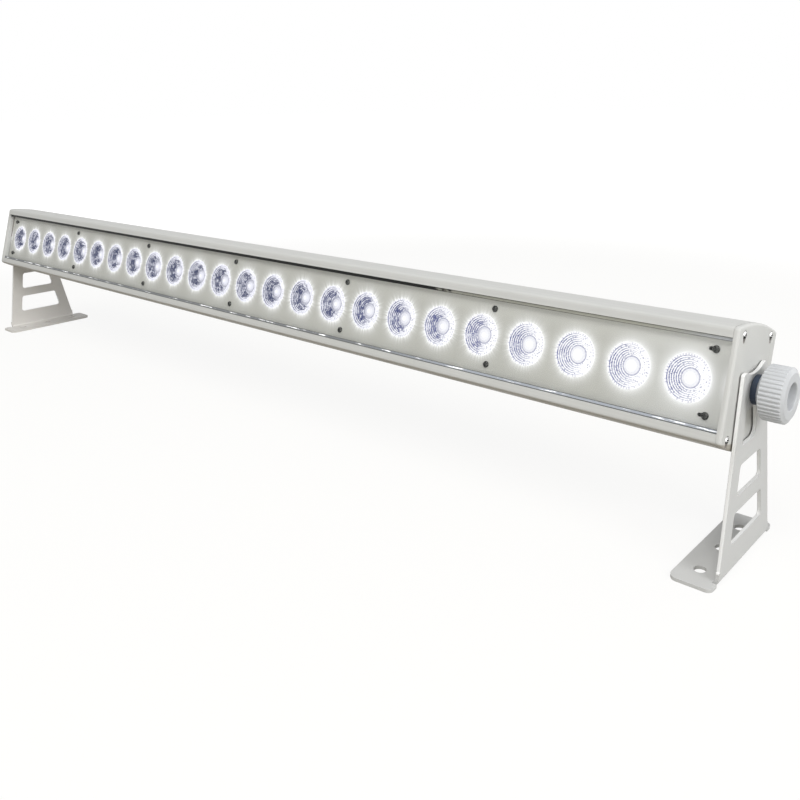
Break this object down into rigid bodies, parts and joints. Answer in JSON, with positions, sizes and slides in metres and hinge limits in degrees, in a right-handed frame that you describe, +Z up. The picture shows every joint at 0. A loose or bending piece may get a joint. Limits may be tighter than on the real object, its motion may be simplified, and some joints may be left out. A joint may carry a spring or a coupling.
{
  "type": "outdoor wall washer light",
  "caption": "Slim linear outdoor wall washer with a row of round lenses behind glass, tilting between two slotted foot brackets with clamp knobs.",
  "frame": {"origin": "on the ground, midway between the two feet", "axes": "+X along the bar, +Y to its rear, +Z up; the lenses face -Y and look up by 17 degrees"},
  "size_m": [1.056, 0.0996, 0.1587],
  "materials": {
    "body_paint": "off-white powder coat on extruded aluminium, fine grain, satin",
    "cap_paint": "off-white powder coat on die-cast aluminium, satin",
    "bracket_paint": "off-white powder coat on bent steel sheet, satin",
    "seal_rubber": "dark grey silicone, matt",
    "washer_rubber": "blue-black moulded rubber, matt",
    "screw_steel": "bright stainless steel",
    "stud_steel": "zinc-plated steel with a plain shank",
    "cover_glass": "clear toughened glass, polished",
    "plate_white": "white, satin",
    "led_phosphor": "yellow phosphor under a clear dome",
    "driver_case": "grey, matt",
    "slip_nylon": "natural nylon, matt",
    "knob_plastic": "off-white moulded plastic, satin",
    "insert_brass": "turned brass",
    "gland_nylon": "light grey nylon, satin",
    "board_white": "white solder mask on an aluminium board",
    "lens_acrylic": "clear moulded acrylic, polished"
  },
  "bodies": {
    "bar": {"housing": "body_paint", "end_cap_left": "cap_paint", "end_cap_right": "cap_paint", "end_gasket_left": "seal_rubber", "end_gasket_right": "seal_rubber", "glass_seals": "seal_rubber", "gland_seals": "seal_rubber", "end_cap_screws_left": "screw_steel", "end_cap_screws_right": "screw_steel", "lens_plate_screws": "screw_steel", "board_screws": "screw_steel", "driver_screws": "screw_steel", "cover_glass": "cover_glass", "lens_plate": "plate_white", "led_chips": "led_phosphor", "driver": "driver_case", "pivot_stud_left": "stud_steel", "pivot_stud_right": "stud_steel", "slip_washer_left": "slip_nylon", "slip_washer_right": "slip_nylon", "gland_bodies": "gland_nylon", "gland_nuts": "gland_nylon", "gland_locknuts": "gland_nylon", "breather_plug": "gland_nylon", "led_board_1": "board_white", "led_board_2": "board_white", "led_board_3": "board_white", "led_board_4": "board_white", "lens_01": "lens_acrylic", "lens_02": "lens_acrylic", "lens_03": "lens_acrylic", "lens_04": "lens_acrylic", "lens_05": "lens_acrylic", "lens_06": "lens_acrylic", "lens_07": "lens_acrylic", "lens_08": "lens_acrylic", "lens_09": "lens_acrylic", "lens_10": "lens_acrylic", "lens_11": "lens_acrylic", "lens_12": "lens_acrylic", "lens_13": "lens_acrylic", "lens_14": "lens_acrylic", "lens_15": "lens_acrylic", "lens_16": "lens_acrylic", "lens_17": "lens_acrylic", "lens_18": "lens_acrylic", "lens_19": "lens_acrylic", "lens_20": "lens_acrylic", "lens_21": "lens_acrylic", "lens_22": "lens_acrylic", "lens_23": "lens_acrylic", "lens_24": "lens_acrylic"},
    "bracket_left": {"bracket_left": "bracket_paint"},
    "washer_left": {"rubber_washer_left": "washer_rubber"},
    "knob_left": {"knob_left": "knob_plastic", "knob_insert_left": "insert_brass"},
    "bracket_right": {"bracket_right": "bracket_paint"},
    "washer_right": {"rubber_washer_right": "washer_rubber"},
    "knob_right": {"knob_right": "knob_plastic", "knob_insert_right": "insert_brass"}
  },
  "joints": [
    {"name": "bracket_left_pivot", "type": "hinge", "parent": "bar", "child": "bracket_left", "pos_m": [-0.50395, 0, 0.116], "axis": [-1, 0, 0], "continuous": true},
    {"name": "washer_left_shift", "type": "slide", "parent": "bar", "child": "washer_left", "axis": [-1, 0, 0], "range_m": [0, 0.0038]},
    {"name": "knob_left_turn", "type": "hinge", "parent": "washer_left", "child": "knob_left", "pos_m": [-0.5188, 0, 0.116], "axis": [-1, 0, 0], "range_deg": [0, 1080]},
    {"name": "bracket_right_pivot", "type": "hinge", "parent": "bar", "child": "bracket_right", "pos_m": [0.50395, 0, 0.116], "axis": [1, 0, 0], "continuous": true},
    {"name": "washer_right_shift", "type": "slide", "parent": "bar", "child": "washer_right", "axis": [1, 0, 0], "range_m": [0, 0.0038]},
    {"name": "knob_right_turn", "type": "hinge", "parent": "washer_right", "child": "knob_right", "pos_m": [0.5188, 0, 0.116], "axis": [1, 0, 0], "range_deg": [0, 1080]}
  ],
  "couplings": [
    {"joint": "washer_left_shift", "follows": "knob_left_turn", "m_per_rad": 0.00019894},
    {"joint": "washer_right_shift", "follows": "knob_right_turn", "m_per_rad": 0.00019894}
  ]
}
